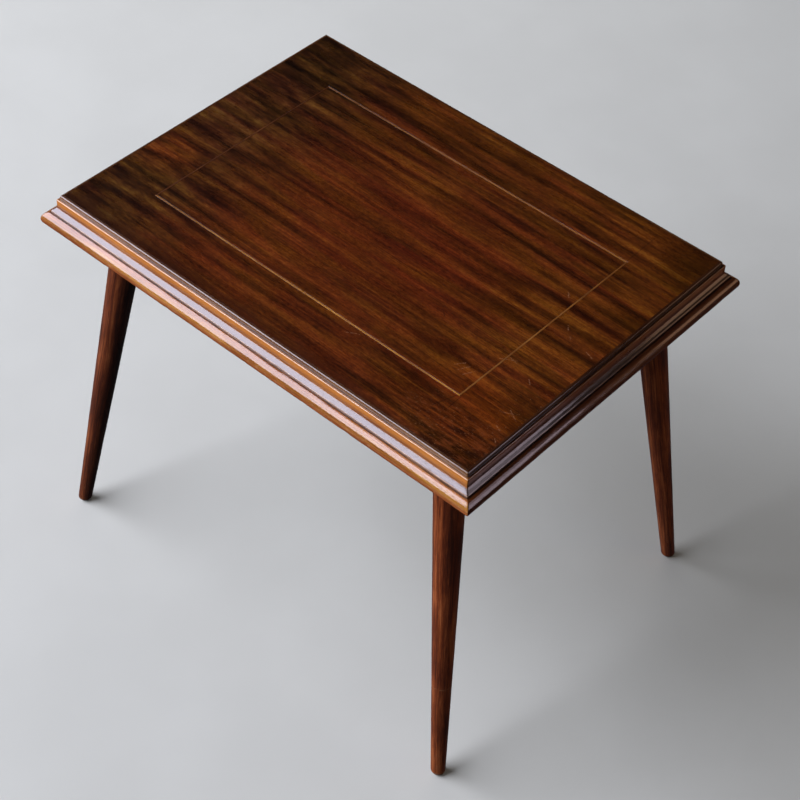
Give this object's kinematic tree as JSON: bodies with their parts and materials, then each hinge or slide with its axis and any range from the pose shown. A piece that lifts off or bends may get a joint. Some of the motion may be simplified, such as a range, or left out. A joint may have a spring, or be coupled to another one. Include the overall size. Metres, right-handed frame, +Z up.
{
  "type": "side table",
  "caption": "Low side table: veneered top with a light inlaid line, stepped and beaded mitred edge moulding, round tapered splayed legs on angled steel plates.",
  "frame": {"origin": "on the floor, under the middle of the top", "axes": "+X along the top's long side, +Y along its short side, +Z up"},
  "size_m": [0.6176, 0.456, 0.495],
  "materials": {
    "mahogany_veneer": "glossy lacquered ribbon-stripe veneer, grain along the long side",
    "stringing_wood": "glossy lacquered light wood",
    "core_wood": "raw sawn blockboard",
    "backing_wood": "plain unpolished veneer",
    "moulding_wood": "glossy lacquered solid wood, worn on the bead",
    "strip_wood": "planed softwood",
    "leg_wood": "glossy lacquered reddish-brown turned wood",
    "plate_steel": "pressed, zinc plated, dulled",
    "bolt_steel": "zinc plated",
    "screw_steel": "brassed, dulled",
    "glide_steel": "pressed nickel-plated dome, scuffed"
  },
  "bodies": {
    "root": {"backing_veneer": "backing_wood", "core_board": "core_wood", "edge_moulding_back": "moulding_wood", "edge_moulding_front": "moulding_wood", "edge_moulding_left": "moulding_wood", "edge_moulding_right": "moulding_wood", "face_veneer_border": "mahogany_veneer", "face_veneer_field": "mahogany_veneer", "foot_glide_back_left": "glide_steel", "foot_glide_back_right": "glide_steel", "foot_glide_front_left": "glide_steel", "foot_glide_front_right": "glide_steel", "hanger_bolt_back_left": "bolt_steel", "hanger_bolt_back_right": "bolt_steel", "hanger_bolt_front_left": "bolt_steel", "hanger_bolt_front_right": "bolt_steel", "leg_back_left": "leg_wood", "leg_back_right": "leg_wood", "leg_front_left": "leg_wood", "leg_front_right": "leg_wood", "leg_plate_back_left": "plate_steel", "leg_plate_back_right": "plate_steel", "leg_plate_front_left": "plate_steel", "leg_plate_front_right": "plate_steel", "leg_plate_screw_back_left_1": "screw_steel", "leg_plate_screw_back_left_2": "screw_steel", "leg_plate_screw_back_left_3": "screw_steel", "leg_plate_screw_back_left_4": "screw_steel", "leg_plate_screw_back_right_1": "screw_steel", "leg_plate_screw_back_right_2": "screw_steel", "leg_plate_screw_back_right_3": "screw_steel", "leg_plate_screw_back_right_4": "screw_steel", "leg_plate_screw_front_left_1": "screw_steel", "leg_plate_screw_front_left_2": "screw_steel", "leg_plate_screw_front_left_3": "screw_steel", "leg_plate_screw_front_left_4": "screw_steel", "leg_plate_screw_front_right_1": "screw_steel", "leg_plate_screw_front_right_2": "screw_steel", "leg_plate_screw_front_right_3": "screw_steel", "leg_plate_screw_front_right_4": "screw_steel", "stringing_back": "stringing_wood", "stringing_front": "stringing_wood", "stringing_left": "stringing_wood", "stringing_right": "stringing_wood", "thickening_strip_back": "strip_wood", "thickening_strip_front": "strip_wood", "thickening_strip_left": "strip_wood", "thickening_strip_right": "strip_wood"}
  },
  "joints": []
}
